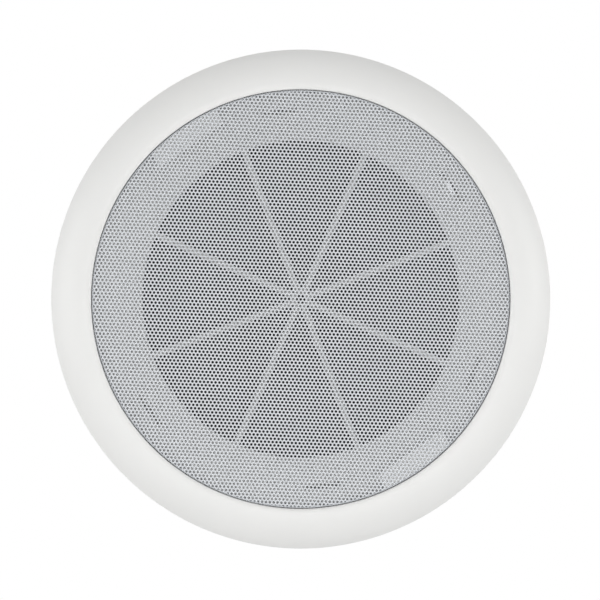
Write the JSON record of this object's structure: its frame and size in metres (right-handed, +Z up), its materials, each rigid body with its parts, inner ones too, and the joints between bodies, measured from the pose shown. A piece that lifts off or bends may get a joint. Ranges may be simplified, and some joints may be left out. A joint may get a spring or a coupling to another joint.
{
  "type": "flush-mount loudspeaker",
  "caption": "Round flush-mount loudspeaker: domed white rim, perforated steel grille over a spoked baffle, cone driver, push-button terminals and hinged spring clamps.",
  "frame": {"origin": "centre of the rim's rear foot, on the face of the panel that the loudspeaker is let into", "axes": "+Y into the panel, away from the listener; +Z up; +X to the listener's right"},
  "size_m": [0.23, 0.071, 0.23],
  "materials": {
    "frame_white": "satin white moulding",
    "grille_white": "white powder-coated perforated sheet",
    "basket_zinc": "zinc-plated pressing",
    "gasket_foam": "closed-cell foam",
    "surround_cloth": "treated cloth, pleated",
    "spider_cloth": "treated cloth, pleated",
    "cone_black": "matt dark cone",
    "former_aluminium": "thin sheet",
    "copper_wire": "copper wire",
    "plated_steel": "zinc plate",
    "ferrite": "ground ferrite",
    "terminal_black": "moulded",
    "button_red": "moulded",
    "button_black": "moulded",
    "lug_brass": "stamped",
    "rivet_aluminium": "plain",
    "clamp_steel": "zinc-plated sheet",
    "foot_rubber": "matt",
    "pin_steel": "drawn rod",
    "spring_steel": "drawn wire"
  },
  "bodies": {
    "housing": {"front_rim": "frame_white", "baffle": "frame_white", "cone_guard": "frame_white", "grille": "grille_white", "driver_gasket": "gasket_foam", "basket": "basket_zinc", "surround": "surround_cloth", "spider": "spider_cloth", "top_plate": "plated_steel", "magnet": "ferrite", "yoke": "plated_steel", "terminal_block": "terminal_black", "terminal_lugs": "lug_brass", "terminal_rivets": "rivet_aluminium", "lead_red": "copper_wire", "lead_black": "copper_wire", "clamp_pin_a": "pin_steel", "clamp_pin_b": "pin_steel", "clamp_spring_a": "spring_steel", "clamp_spring_b": "spring_steel"},
    "moving_cone": {"cone": "cone_black", "dust_cap": "cone_black", "coil_former": "former_aluminium", "voice_coil": "copper_wire"},
    "clamp_a": {"clamp_arm_a": "clamp_steel", "clamp_foot_a": "foot_rubber"},
    "clamp_b": {"clamp_arm_b": "clamp_steel", "clamp_foot_b": "foot_rubber"},
    "red_button": {"button_red": "button_red"},
    "black_button": {"button_black": "button_black"}
  },
  "joints": [
    {"name": "cone_travel", "type": "slide", "parent": "housing", "child": "moving_cone", "axis": [0, 1, 0], "range_m": [-0.0025, 0.0025], "stiffness_N_per_m": 2500, "deforming": ["surround", "spider", "lead_red", "lead_black"]},
    {"name": "clamp_a_hinge", "type": "hinge", "parent": "housing", "child": "clamp_a", "pos_m": [-0.05349, 0.0145, 0.07639], "axis": [-0.8192, 0, -0.5736], "range_deg": [0, 120], "stiffness_Nm_per_rad": 0.05, "springref_deg": -57.3, "deforming": ["clamp_spring_a"]},
    {"name": "clamp_b_hinge", "type": "hinge", "parent": "housing", "child": "clamp_b", "pos_m": [0.05349, 0.0145, -0.07639], "axis": [0.8192, 0, 0.5736], "range_deg": [0, 120], "stiffness_Nm_per_rad": 0.05, "springref_deg": -57.3, "deforming": ["clamp_spring_b"]},
    {"name": "button_red_press", "type": "slide", "parent": "housing", "child": "red_button", "axis": [0, -1, 0], "range_m": [0, 0.0025], "stiffness_N_per_m": 400, "springref_m": -0.002},
    {"name": "button_black_press", "type": "slide", "parent": "housing", "child": "black_button", "axis": [0, -1, 0], "range_m": [0, 0.0025], "stiffness_N_per_m": 400, "springref_m": -0.002}
  ]
}
